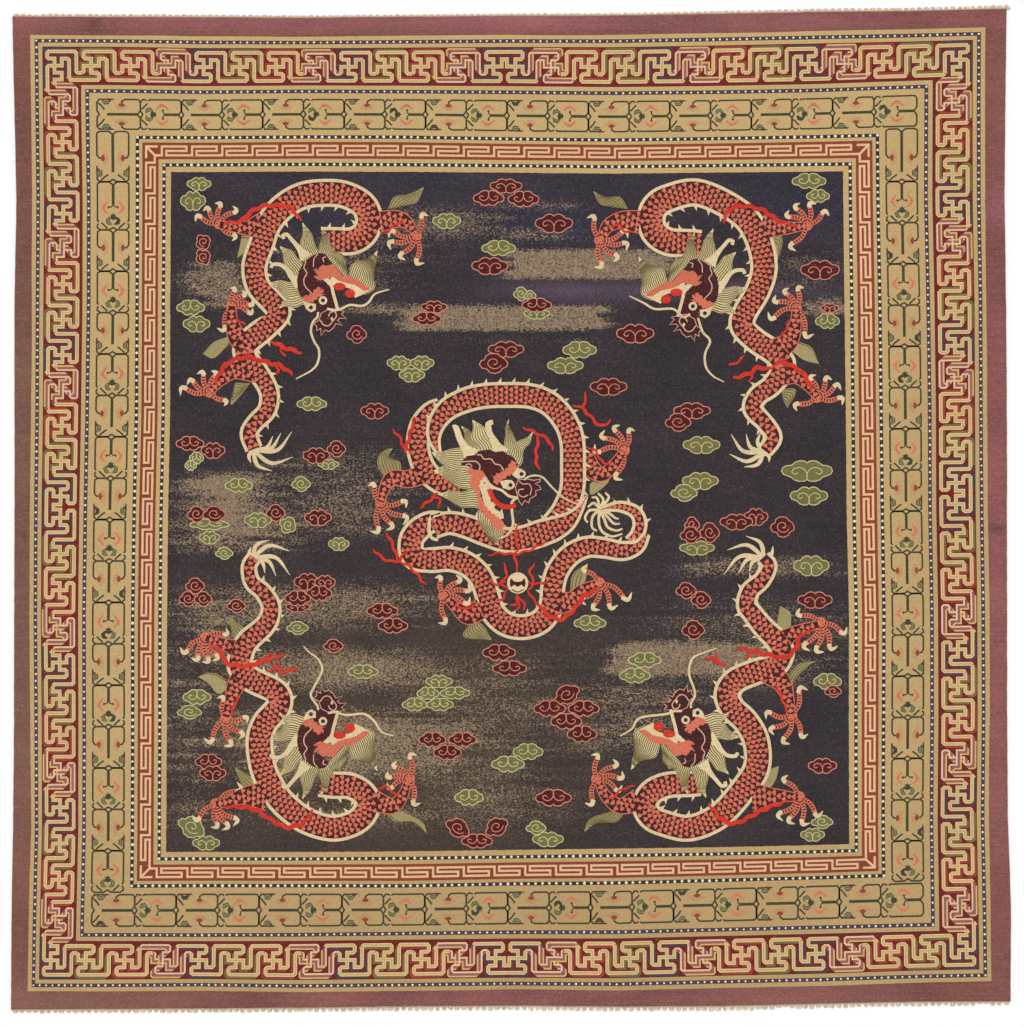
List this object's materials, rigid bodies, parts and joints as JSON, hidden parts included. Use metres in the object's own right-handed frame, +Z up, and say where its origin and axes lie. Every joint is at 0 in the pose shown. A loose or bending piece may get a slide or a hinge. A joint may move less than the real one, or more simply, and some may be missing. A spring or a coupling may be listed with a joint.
{
  "type": "hall carpet",
  "caption": "Large square knotted-pile hall carpet laid flat, with key-fret and vine borders around a dark field of dragons and clouds, and a short ragged fringe at both ends.",
  "frame": {"origin": "middle of the carpet's outline, fringes included, on the plane of its underside", "axes": "+Z up out of the pile, +Y towards the head end with its fringe, +X to the right side"},
  "size_m": [5.007, 5.0502, 0.009],
  "materials": {
    "pile": "low worn wool pile in dark brown-violet, beige, plum and coral",
    "warp": "undyed matt warp yarn, frayed"
  },
  "bodies": {
    "root": {"carpet": "pile", "fringe_head": "warp", "fringe_foot": "warp"}
  },
  "joints": []
}
